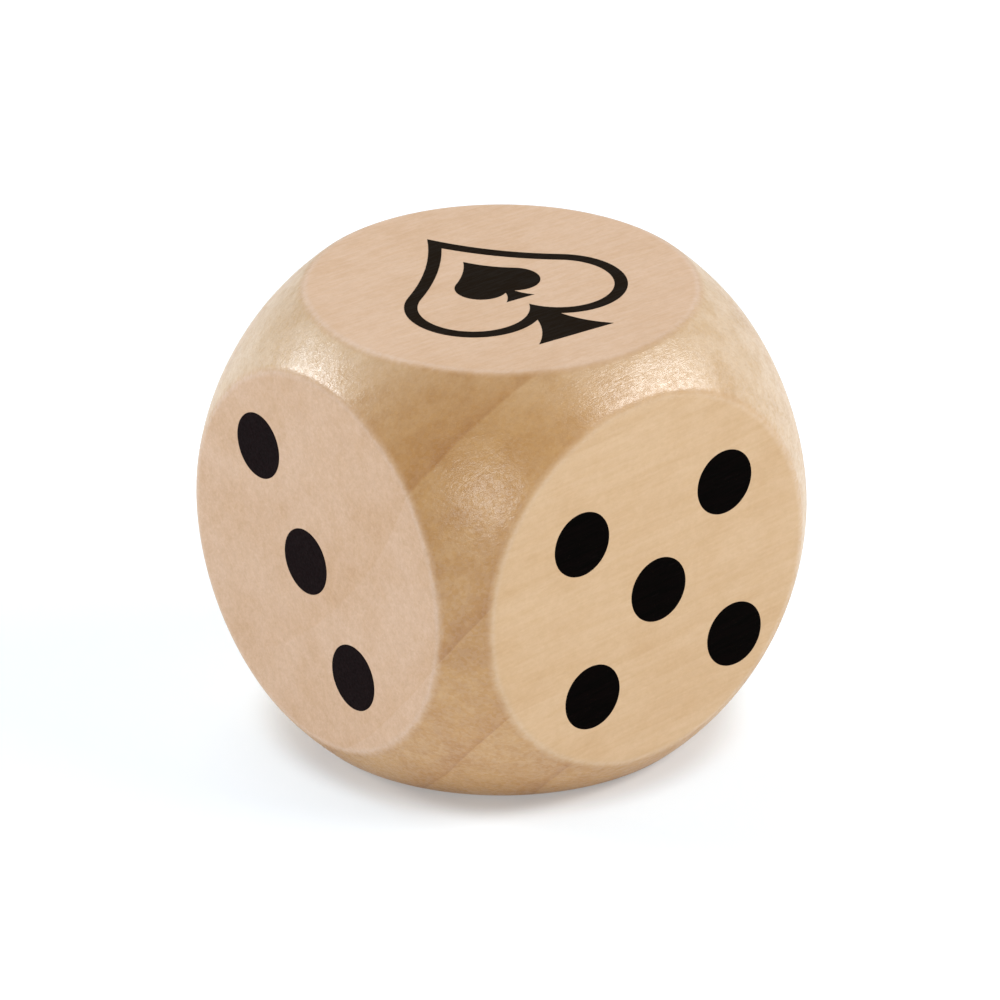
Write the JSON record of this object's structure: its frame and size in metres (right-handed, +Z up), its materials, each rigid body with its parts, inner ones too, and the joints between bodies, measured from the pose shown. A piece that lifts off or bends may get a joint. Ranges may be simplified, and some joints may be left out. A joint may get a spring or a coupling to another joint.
{
  "type": "wooden die",
  "caption": "Wooden game die turned down to a ball, with round flats, printed pips and an ace on top; rolled to draw a number.",
  "frame": {"origin": "middle of the bottom flat, which shows the six", "axes": "+Z up through the ace, +X out of the five, +Y out of the four"},
  "size_m": [0.03, 0.03, 0.03],
  "materials": {
    "wood": "sanded flats, lacquered round-over",
    "pip_ink": "flush black printing ink, matte",
    "mark_ink": "flush dark brown-black printing ink, matte"
  },
  "bodies": {
    "root": {"wood_block": "wood", "two_pip_upper_left": "pip_ink", "two_pip_lower_right": "pip_ink", "three_pip_upper_left": "pip_ink", "three_pip_lower_right": "pip_ink", "three_pip_middle": "pip_ink", "four_pip_upper_left": "pip_ink", "four_pip_lower_right": "pip_ink", "four_pip_upper_right": "pip_ink", "four_pip_lower_left": "pip_ink", "five_pip_upper_left": "pip_ink", "five_pip_lower_right": "pip_ink", "five_pip_upper_right": "pip_ink", "five_pip_lower_left": "pip_ink", "five_pip_middle": "pip_ink", "six_pip_upper_left": "pip_ink", "six_pip_lower_right": "pip_ink", "six_pip_upper_right": "pip_ink", "six_pip_lower_left": "pip_ink", "six_pip_middle_left": "pip_ink", "six_pip_middle_right": "pip_ink", "ace_border": "mark_ink", "ace_spade": "mark_ink"}
  },
  "joints": []
}
